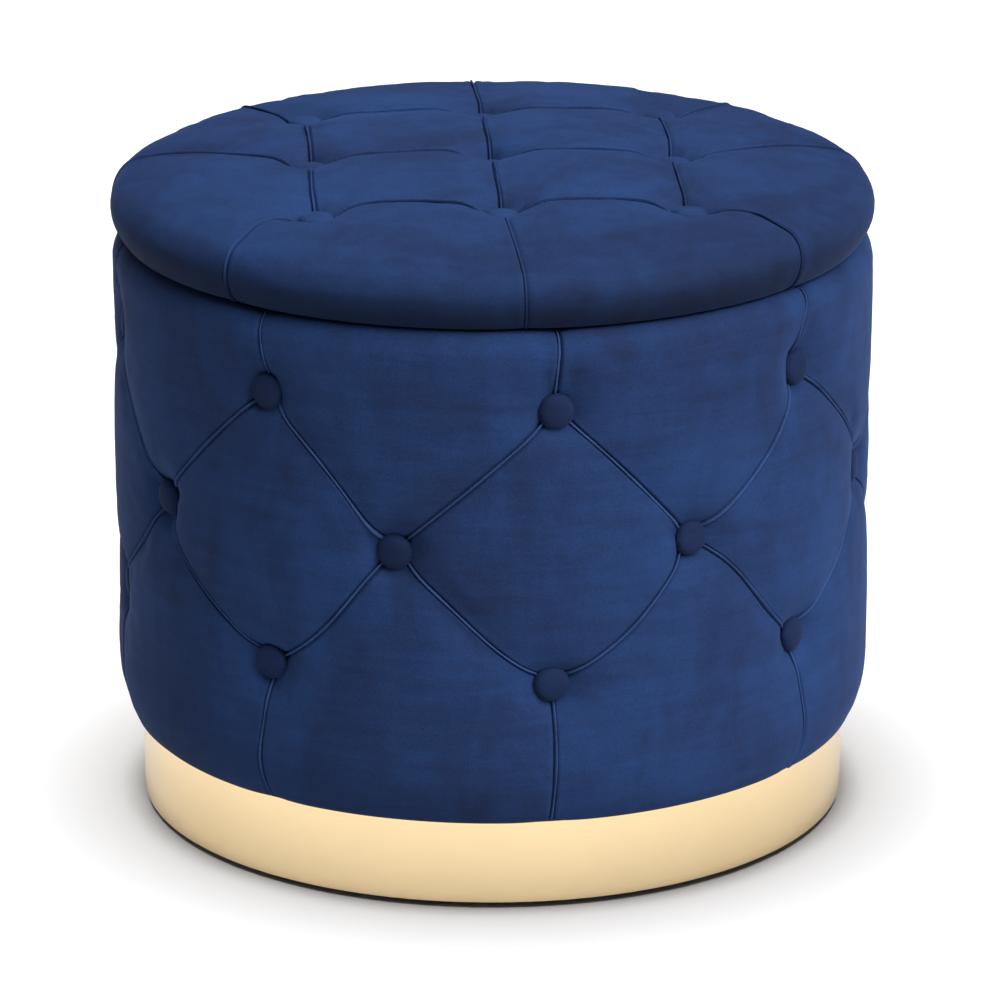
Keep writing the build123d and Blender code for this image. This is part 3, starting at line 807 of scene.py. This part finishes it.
def covered_button(name, place, outward, seed):
    """A domed button covered in gathered velvet, whose face looks along outward."""
    random = np.random.default_rng(seed)
    segments = 56
    section = [(0.0, 0.0050), (0.25, 0.00492), (0.5, 0.00465), (0.68, 0.0042), (0.81, 0.0035)]
    section += [(0.90, 0.0026), (0.96, 0.0016), (0.99, 0.0007), (1.0, -0.0002), (0.985, -0.0011)]
    section += [(0.93, -0.0018), (0.80, -0.0022)]
    turn = np.arange(segments) * 2 * np.pi / segments
    gathers = 0.5 * np.sin(turn * 15 + random.uniform(0, 6)) + 0.5 * np.sin(turn * 9 + random.uniform(0, 6))
    tilt = 0.00035 * np.cos(turn + random.uniform(0, 6))
    points = [(0, 0, section[0][1])]
    for share, height in section[1:]:
        rim = max(0.0, (share - 0.8) / 0.2) if height > 0 else 1.0
        radius = BUTTON_RADIUS * share * (1 + 0.012 * rim * gathers)
        level = height + 0.00012 * rim * gathers + tilt * share
        points += list(zip(radius * np.cos(turn), radius * np.sin(turn), level))
    points.append((0, 0, section[-1][1]))
    faces = [(0, 1 + i, 1 + (i + 1) % segments) for i in range(segments)]
    faces += ring_faces(len(section) - 1, segments, 1)
    last = len(points) - 1
    base = last - segments
    faces += [(last, base + (i + 1) % segments, base + i) for i in range(segments)]
    made = mesh_object(name, points, faces)
    spin = Matrix.Rotation(random.uniform(0, 6.28), 4, "Z")
    aim = Vector(outward).to_track_quat("Z", "Y").to_matrix().to_4x4()
    lean = Matrix.Rotation(random.uniform(-0.06, 0.06), 4, "X")
    made.data.transform(Matrix.Translation(Vector(place)) @ aim @ lean @ spin)
    return made


def ring_faces(rows, columns, offset):
    """Quads between rings of points, each ring closed."""
    faces = []
    for row in range(rows - 1):
        a = offset + row * columns
        b = a + columns
        for column in range(columns):
            nxt = (column + 1) % columns
            faces.append((a + column, b + column, b + nxt, a + nxt))
    return faces


# ---------------- materials


class Nodes:
    """Short forms for building a node material."""

    def __init__(self, name):
        self.material = bpy.data.materials.new(name)
        self.material.use_nodes = True
        self.tree = self.material.node_tree
        self.shader = self.tree.nodes["Principled BSDF"]
        self.place = self.tree.nodes.new("ShaderNodeTexCoord").outputs["Object"]

    def set(self, **values):
        for name, value in values.items():
            socket = self.shader.inputs[name.replace("_", " ")]
            socket.default_value = (*value, 1.0) if isinstance(value, tuple) else value

    def noise(self, scale, detail=2.0, roughness=0.5, stretch=(1, 1, 1), distortion=0.0):
        mapping = self.tree.nodes.new("ShaderNodeMapping")
        mapping.inputs["Scale"].default_value = stretch
        self.tree.links.new(self.place, mapping.inputs["Vector"])
        node = self.tree.nodes.new("ShaderNodeTexNoise")
        node.inputs["Scale"].default_value = scale
        node.inputs["Detail"].default_value = detail
        node.inputs["Roughness"].default_value = roughness
        node.inputs["Distortion"].default_value = distortion
        self.tree.links.new(mapping.outputs["Vector"], node.inputs["Vector"])
        return node.outputs["Fac"]

    def height(self):
        node = self.tree.nodes.new("ShaderNodeSeparateXYZ")
        self.tree.links.new(self.place, node.inputs[0])
        return node.outputs["Z"]

    def math(self, operation, a, b):
        node = self.tree.nodes.new("ShaderNodeMath")
        node.operation = operation
        for socket, value in zip(node.inputs, (a, b)):
            if isinstance(value, (int, float)):
                socket.default_value = value
            else:
                self.tree.links.new(value, socket)
        return node.outputs[0]

    def ramp(self, value, *stops):
        node = self.tree.nodes.new("ShaderNodeValToRGB")
        elements = node.color_ramp.elements
        while len(elements) < len(stops):
            elements.new(0.5)
        for element, (position, colour) in zip(elements, stops):
            element.position = position
            element.color = (*colour, 1.0) if isinstance(colour, tuple) else (colour, colour, colour, 1.0)
        self.tree.links.new(value, node.inputs["Fac"])
        return node.outputs["Color"]

    def mix(self, share, a, b, blend="MIX"):
        node = self.tree.nodes.new("ShaderNodeMix")
        node.data_type = "RGBA"
        node.blend_type = blend
        for socket, value in ((node.inputs[0], share), (node.inputs[6], a), (node.inputs[7], b)):
            if isinstance(value, (int, float)):
                socket.default_value = value
            elif isinstance(value, tuple):
                socket.default_value = (*value, 1.0)
            else:
                self.tree.links.new(value, socket)
        return node.outputs[2]

    def link(self, output, socket):
        self.tree.links.new(output, self.shader.inputs[socket])

    def bump(self, height, strength, distance):
        node = self.tree.nodes.new("ShaderNodeBump")
        node.inputs["Strength"].default_value = strength
        node.inputs["Distance"].default_value = distance
        self.tree.links.new(height, node.inputs["Height"])
        below = self.shader.inputs["Normal"]
        if below.links:
            self.tree.links.new(below.links[0].from_socket, node.inputs["Normal"])
        self.tree.links.new(node.outputs["Normal"], below)


# Height above the lid's hem over which the painted shade fades out.
HEM_SHADE_HEIGHT = 0.05


def velvet(name, dark, light, shade=1.0, hem=None):
    """Short-pile velvet; with a hem height, painted shade darkens its colour towards the hem."""
    m = Nodes(name)
    patches = m.noise(9, 3, 0.55, distortion=0.6)
    strokes = m.noise(26, 3, 0.6, stretch=(1, 1, 0.45), distortion=1.2)
    streaks = m.noise(34, 3, 0.6, stretch=(0.45, 0.45, 4.0), distortion=0.4)
    pile = m.noise(900, 2, 0.7)
    both = m.math("ADD", m.math("MULTIPLY", patches, 0.46), m.math("MULTIPLY", strokes, 0.30))
    both = m.math("ADD", both, m.math("MULTIPLY", streaks, 0.24))
    body = m.ramp(both, (0.38, tuple(c * shade for c in dark)), (0.62, tuple(c * shade for c in light)))
    grain = m.ramp(pile, (0.25, 0.72), (0.75, 1.22))
    colour = m.mix(1.0, body, grain, "MULTIPLY")
    # Painted shade: the colour darkens towards the lid's hem, where its side is less lit.
    if hem:
        above = m.math("MULTIPLY", m.math("SUBTRACT", m.height(), hem), 1 / HEM_SHADE_HEIGHT)
        hem_shade = m.ramp(above, (0.2, 0.36), (0.95, 1.0))
        colour = m.mix(1.0, colour, hem_shade, "MULTIPLY")
    m.link(colour, "Base Color")
    m.link(m.ramp(pile, (0.2, 0.78), (0.8, 0.95)), "Roughness")
    m.set(Sheen_Weight=0.10, Sheen_Roughness=0.38, Sheen_Tint=(0.15, 0.30, 0.85), Specular_IOR_Level=0.08)
    m.bump(m.noise(26, 3, 0.5, distortion=1.0), 0.10, 0.002)
    m.bump(m.noise(230, 3, 0.6), 0.12, 0.0006)
    m.bump(pile, 0.22, 0.0003)
    return m.material


def metal(name, colour, roughness, scratch=0.06, brushed=0.5):
    m = Nodes(name)
    lines = m.noise(60, 4, 0.6, stretch=(0.15, 0.15, 30))
    wear = m.noise(14, 5, 0.65)
    spots = m.noise(160, 2, 0.5)
    tone = m.ramp(wear, (0.3, tuple(c * 0.95 for c in colour)), (0.7, colour))
    m.link(tone, "Base Color")
    rough = m.math("ADD", m.math("MULTIPLY", wear, 0.10), m.math("MULTIPLY", spots, 0.04))
    m.link(m.math("ADD", rough, roughness - 0.07), "Roughness")
    m.set(Metallic=1.0, Anisotropic=brushed)
    m.bump(lines, scratch, 0.0002)
    m.bump(wear, 0.015, 0.002)
    return m.material


def woven(name, dark, light, thread=1400.0, rough=0.92):
    """Non-woven or plain cloth lining: a fine matted weave."""
    m = Nodes(name)
    warp = m.noise(thread, 1, 0.5, stretch=(1, 0.15, 1))
    weft = m.noise(thread, 1, 0.5, stretch=(0.15, 1, 1))
    weave = m.math("MULTIPLY", warp, weft)
    clouds = m.noise(40, 4, 0.6)
    m.link(m.mix(clouds, dark, light), "Base Color")
    m.set(Roughness=rough, Sheen_Weight=0.15, Sheen_Roughness=0.5)
    m.bump(weave, 0.5, 0.0004)
    m.bump(clouds, 0.15, 0.001)
    return m.material


def wood(name, dark, light, scale=30.0, stretch=(1, 12, 1)):
    m = Nodes(name)
    grain = m.noise(scale, 6, 0.65, stretch=stretch, distortion=1.5)
    fibres = m.noise(400, 2, 0.6, stretch=stretch)
    m.link(m.mix(m.math("MULTIPLY", grain, 1.1), dark, light), "Base Color")
    m.link(m.ramp(fibres, (0.2, 0.6), (0.8, 0.8)), "Roughness")
    m.bump(fibres, 0.25, 0.0004)
    return m.material


def board(name, dark, light):
    """Pressed fibreboard: fine speckle, no grain."""
    m = Nodes(name)
    speckle = m.noise(420, 4, 0.7)
    m.link(m.mix(speckle, dark, light), "Base Color")
    m.link(m.ramp(speckle, (0.2, 0.7), (0.8, 0.9)), "Roughness")
    m.bump(speckle, 0.3, 0.0004)
    return m.material


def foam(name):
    m = Nodes(name)
    cells = m.noise(700, 3, 0.7)
    m.link(m.ramp(cells, (0.2, (0.62, 0.55, 0.36)), (0.8, (0.85, 0.79, 0.58))), "Base Color")
    m.set(Roughness=0.95)
    m.bump(cells, 0.6, 0.0008)
    return m.material


def plastic(name, dark, light, rough):
    m = Nodes(name)
    mottle = m.noise(90, 3, 0.6)
    m.link(m.mix(mottle, dark, light), "Base Color")
    m.link(m.ramp(mottle, (0.2, rough - 0.08), (0.8, rough + 0.08)), "Roughness")
    m.bump(m.noise(900, 2, 0.5), 0.15, 0.0002)
    return m.material


def twine(name):
    m = Nodes(name)
    strands = m.noise(800, 3, 0.6, stretch=(1, 1, 0.3))
    m.link(m.ramp(strands, (0.3, (0.42, 0.38, 0.30)), (0.7, (0.72, 0.68, 0.58))), "Base Color")
    m.set(Roughness=0.9)
    m.bump(strands, 0.5, 0.0004)
    return m.material


BLUE_DARK = (0.0076, 0.0158, 0.050)
BLUE_LIGHT = (0.0098, 0.0284, 0.093)
# Lighter velvet for the drum's tucks: a painted highlight along the fold crests.
DRUM_FOLD_HIGHLIGHT_VELVET = velvet("velvet_fold_blue_painted_highlight", (0.0150, 0.0300, 0.085), (0.0190, 0.0440, 0.130))
# The lid's velvet carries the painted hem shade.
LID_VELVET = velvet("velvet_lid_blue_painted_hem_shade", BLUE_DARK, BLUE_LIGHT, hem=LID_HEM_Z)
# A lighter copy of the lid's velvet for its tucks: a painted highlight along the fold crests, with the
# painted hem shade too.
LID_FOLD_HIGHLIGHT_VELVET = velvet("velvet_lid_fold_blue_painted_highlight_and_hem_shade", BLUE_DARK, BLUE_LIGHT, 1.1, LID_HEM_Z)
LID_BUTTON_VELVET = velvet("velvet_lid_button_blue", BLUE_DARK, BLUE_LIGHT, 1.0)
MATERIALS = {
    "velvet": velvet("velvet_blue", BLUE_DARK, BLUE_LIGHT),
    # Darker velvet on the drum's buttons: painted shade for buttons sunk in the cloth.
    "velvet_buttons": velvet("velvet_button_blue_painted_shade", (0.0046, 0.0092, 0.029), (0.0062, 0.0145, 0.047)),
    "twine": twine("waxed_twine"),
    "toggle_plastic": plastic("toggle_black", (0.02, 0.02, 0.02), (0.05, 0.05, 0.05), 0.55),
    "gold_metal": metal("gold_polished", (0.87, 0.67, 0.39), 0.21, scratch=0.03),
    "foam": foam("cut_foam"),
    "glide_plastic": plastic("glide_black", (0.008, 0.008, 0.008), (0.02, 0.02, 0.02), 0.4),
    "black_lining": woven("lining_black", (0.006, 0.006, 0.007), (0.016, 0.016, 0.018)),
    "fibreboard": board("fibreboard_brown", (0.25, 0.15, 0.08), (0.45, 0.31, 0.18)),
    "hardboard": board("hardboard_brown", (0.12, 0.065, 0.03), (0.22, 0.13, 0.065)),
    "plywood": wood("plywood_birch", (0.38, 0.25, 0.13), (0.68, 0.50, 0.30)),
    "softwood": wood("softwood_pine", (0.48, 0.30, 0.14), (0.76, 0.56, 0.31), stretch=(12, 12, 1)),
    "zinc_steel": metal("zinc_plate", (0.62, 0.62, 0.60), 0.35),
}


def paint_frame():
    """Every carried-over CAD node gets its slot's material."""
    slots = {s["node"]: s["material_slot"] for s in frame["record"]["subparts"]}
    for node, made in frame["nodes"].items():
        made.data.materials.clear()
        made.data.materials.append(MATERIALS[slots[node]])


# ---------------- pieces


def sleeve_foam(skin):
    """Foam sleeve between the wall and the velvet, following the tufting a little smaller."""
    where, _ = drum_grid(skin, FOAM_LINES)
    count = COLUMNS * FOAM_LINES
    points, _ = skin.lay(where, CLOTH + FOAM_GAP)
    rows = points.reshape(-1, count, 3)
    heights = rows[:, :, 2].mean(1)
    radii = np.hypot(rows[:, :, 0], rows[:, :, 1]).mean(1)
    low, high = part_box("side_foam")
    kept = rows[(heights > low.z) & (heights < high.z - 0.001) & (radii > SHELL_RADIUS + 0.004)]
    behind = []
    for row, height in ((kept[-1], high.z), (kept[0], low.z)):
        turn = np.arctan2(row[:, 1], row[:, 0])
        inner = SHELL_RADIUS + 0.0003
        behind.append(np.stack([inner * np.cos(turn), inner * np.sin(turn), np.full(count, height)], 1))
    verts = np.concatenate([*kept, *behind])
    made = mesh_object("drum_foam", verts, tube_faces(len(kept) + 2, count))
    fix_normals(made)
    finished(made, "drum", "foam", MATERIALS["foam"], "side_foam")


def rim_foam(skin):
    """Thin pad that softens the drum's rim under the velvet."""
    low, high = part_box("rim_pad")
    count = COLUMNS * FOAM_LINES
    turn = np.arange(count) * 2 * np.pi / count
    start = skin.profile.where(low.z + 0.0005, DRUM_RADIUS - 0.02)
    top = skin.profile.length - RIM_TURN_IN - 0.004
    distances = np.linspace(start, top, 12)
    where = np.concatenate([np.stack([turn * DRUM_RADIUS, np.full(count, d)], 1) for d in distances])
    rows = skin.lay(where, CLOTH + FOAM_GAP)[0].reshape(-1, count, 3)
    floor_rows = rows[[-1, 0]].copy()
    floor_rows[:, :, 2] = low.z + 0.0001
    verts = np.concatenate([*rows, *floor_rows])
    made = mesh_object("rim_foam", verts, tube_faces(len(rows) + 2, count))
    fix_normals(made)
    finished(made, "drum", "foam", MATERIALS["foam"], "rim_pad")


def dome_foam(skin):
    """Foam over the lid board and down round its edge, following the tufting a little smaller."""
    where, faces = lid_grid(skin, FOAM_LINES)
    reach = np.hypot(where[:, 0], where[:, 1])
    keep = [f for f in faces if max(reach[i] for i in f) <= skin.hem + 1e-6]
    points, _ = skin.lay(where, CLOTH + FOAM_GAP)
    made = mesh_object("lid_dome_foam", points, keep)
    board_low, board_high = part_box("lid_board")
    work = bmesh.new()
    work.from_mesh(made.data)
    bmesh.ops.remove_doubles(work, verts=work.verts, dist=1e-5)
    bmesh.ops.delete(work, geom=[v for v in work.verts if not v.link_faces], context="VERTS")
    edge = [e for e in work.edges if e.is_boundary]
    radius = board_high.x + 0.0003
    for height in (board_low.z + 0.0005, board_high.z + 0.0002):
        grown = bmesh.ops.extrude_edge_only(work, edges=edge)["geom"]
        edge = [e for e in grown if isinstance(e, bmesh.types.BMEdge) and e.is_boundary]
        for vert in [v for v in grown if isinstance(v, bmesh.types.BMVert)]:
            size = radius / math.hypot(vert.co.x, vert.co.y)
            vert.co = (vert.co.x * size, vert.co.y * size, height)
    bmesh.ops.contextual_create(work, geom=edge)
    bmesh.ops.recalc_face_normals(work, faces=work.faces)
    work.to_mesh(made.data)
    work.free()
    finished(made, "lid", "foam", MATERIALS["foam"], "lid_foam")


def build_drum():
    skin = make_drum_skin()
    skin.puff(*drum_grid(skin, SIM_LINES, evenly_spaced))
    where, faces = drum_grid(skin, PANEL_LINES)
    points, _ = skin.lay(where)
    cover = mesh_object("drum_velvet", points, faces)
    thicken(cover, CLOTH)
    finished(cover, "drum", "velvet", MATERIALS["velvet"], "side_cover")
    spans = [(0.07, 0.93)] * 4 + [(0.10, 1.0)] * 2
    folds = tucks("drum_tucks", skin, spans * COLUMNS)
    finished(folds, "drum", "velvet", DRUM_FOLD_HIGHLIGHT_VELVET)
    seed = 100
    for name, height in zip(ROWS, ROW_Z):
        made = []
        for column, angle in enumerate(side_button_angles(name)[1]):
            outward = Vector((math.cos(angle), math.sin(angle), 0))
            place = outward * (SIDE_BUTTON_RADIUS - SIDE_BUTTON_DOME) + Vector((0, 0, height))
            seed += 1
            made.append(covered_button(f"button_{name}_{column + 1}", place, outward, seed))
        group = join_pieces(f"drum_buttons_{name}", made)
        finished(group, "drum", "velvet_buttons", MATERIALS["velvet_buttons"], f"side_buttons_{name}")
    sleeve_foam(skin)
    rim_foam(skin)


def build_lid():
    skin = make_lid_skin()
    skin.puff(*lid_grid(skin, SIM_LINES, evenly_spaced))
    where, faces = lid_grid(skin, PANEL_LINES)
    points, _ = skin.lay(where)
    cover = mesh_object("lid_velvet", points, faces)
    fix_normals(cover)
    thicken(cover, CLOTH)
    finished(cover, "lid", "velvet", LID_VELVET, "lid_cover")
    spans = []
    for p in skin.pleats:
        outer = len(p["points"]) > 2
        spans.append((0.06, 1.0) if outer else (0.09, 0.91))
    folds = tucks("lid_tucks", skin, spans)
    finished(folds, "lid", "velvet", LID_FOLD_HIGHLIGHT_VELVET)
    for index in range(9):
        node = f"lid_button_{index + 1}"
        centre = middle(node)
        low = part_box(node)[0]
        place = Vector((centre.x, centre.y, low.z + LID_BUTTON_BACK))
        lean = Vector((centre.x, centre.y, 0)) * 0.25
        outward = Vector((0, 0, 1)) + lean
        button = covered_button(f"lid_covered_button_{index + 1}", place, outward, 300 + index)
        finished(button, "lid", "velvet_buttons", LID_BUTTON_VELVET, node)
    dome_foam(skin)


# ---------------- camera, light and floor

CAMERA_TURN = math.radians(-8.89)
CAMERA_DISTANCE = 4.0
CAMERA_HEIGHT = 1.5248
CAMERA_PITCH = 0.3203
CAMERA_YAW = math.radians(-0.0725)
CAMERA_LENS = 227.8


def build_camera():
    data = bpy.data.cameras.new("camera")
    data.lens = CAMERA_LENS
    data.sensor_width = 36
    data.clip_end = 100
    made = bpy.data.objects.new("camera", data)
    bpy.context.scene.collection.objects.link(made)
    made.location = (
        CAMERA_DISTANCE * math.sin(CAMERA_TURN),
        -CAMERA_DISTANCE * math.cos(CAMERA_TURN),
        CAMERA_HEIGHT,
    )
    made.rotation_euler = (math.pi / 2 - CAMERA_PITCH, 0, CAMERA_TURN + CAMERA_YAW)
    bpy.context.scene.camera = made


def sun_light(name, azimuth, elevation, strength, softness, lit):
    """A broad soft light from azimuth degrees to the right of the camera, falling on one collection only."""
    data = bpy.data.lights.new(name, "SUN")
    data.energy = strength
    data.angle = math.radians(softness)
    made = bpy.data.objects.new(name, data)
    bpy.context.scene.collection.objects.link(made)
    turn = CAMERA_TURN + math.radians(azimuth)
    rise = math.radians(elevation)
    towards = Vector((math.sin(turn) * math.cos(rise), -math.cos(turn) * math.cos(rise), math.sin(rise)))
    made.rotation_euler = towards.to_track_quat("Z", "Y").to_euler()
    made.light_linking.receiver_collection = lit


def build_studio():
    world = bpy.data.worlds.new("studio")
    bpy.context.scene.world = world
    world.use_nodes = True
    sky = world.node_tree.nodes["Background"]
    sky.inputs["Color"].default_value = (1.0, 0.88, 0.84, 1)
    sky.inputs["Strength"].default_value = 0.08
    half = 30
    corners = [(-half, -half, 0), (half, -half, 0), (half, half, 0), (-half, half, 0)]
    floor = mesh_object("floor", corners, [(0, 1, 2, 3)], False)
    m = Nodes("pale_floor")
    cloud = m.noise(0.4, 2, 0.5)
    m.link(m.ramp(cloud, (0.2, 0.90), (0.8, 0.92)), "Base Color")
    m.set(Roughness=0.9, Specular_IOR_Level=0.1)
    floor.data.materials.append(m.material)
    floor_only = bpy.data.collections.new("floor_only")
    floor_only.objects.link(floor)
    furniture = bpy.data.collections.new("furniture")
    for made in bpy.data.objects:
        if made.type == "MESH" and made not in (floor, frame["nodes"]["plinth_band"]):
            furniture.objects.link(made)
    sun_light("key", 50, 40, 5.3, 40, furniture)
    sun_light("top", 60, 80, 3.8, 60, furniture)
    sun_light("floor_light", 0, 90, 4.2, 40, floor_only)
    bpy.context.scene.view_settings.view_transform = "Standard"


# ---------------- build

build_camera()
paint_frame()
build_drum()
build_lid()
build_studio()
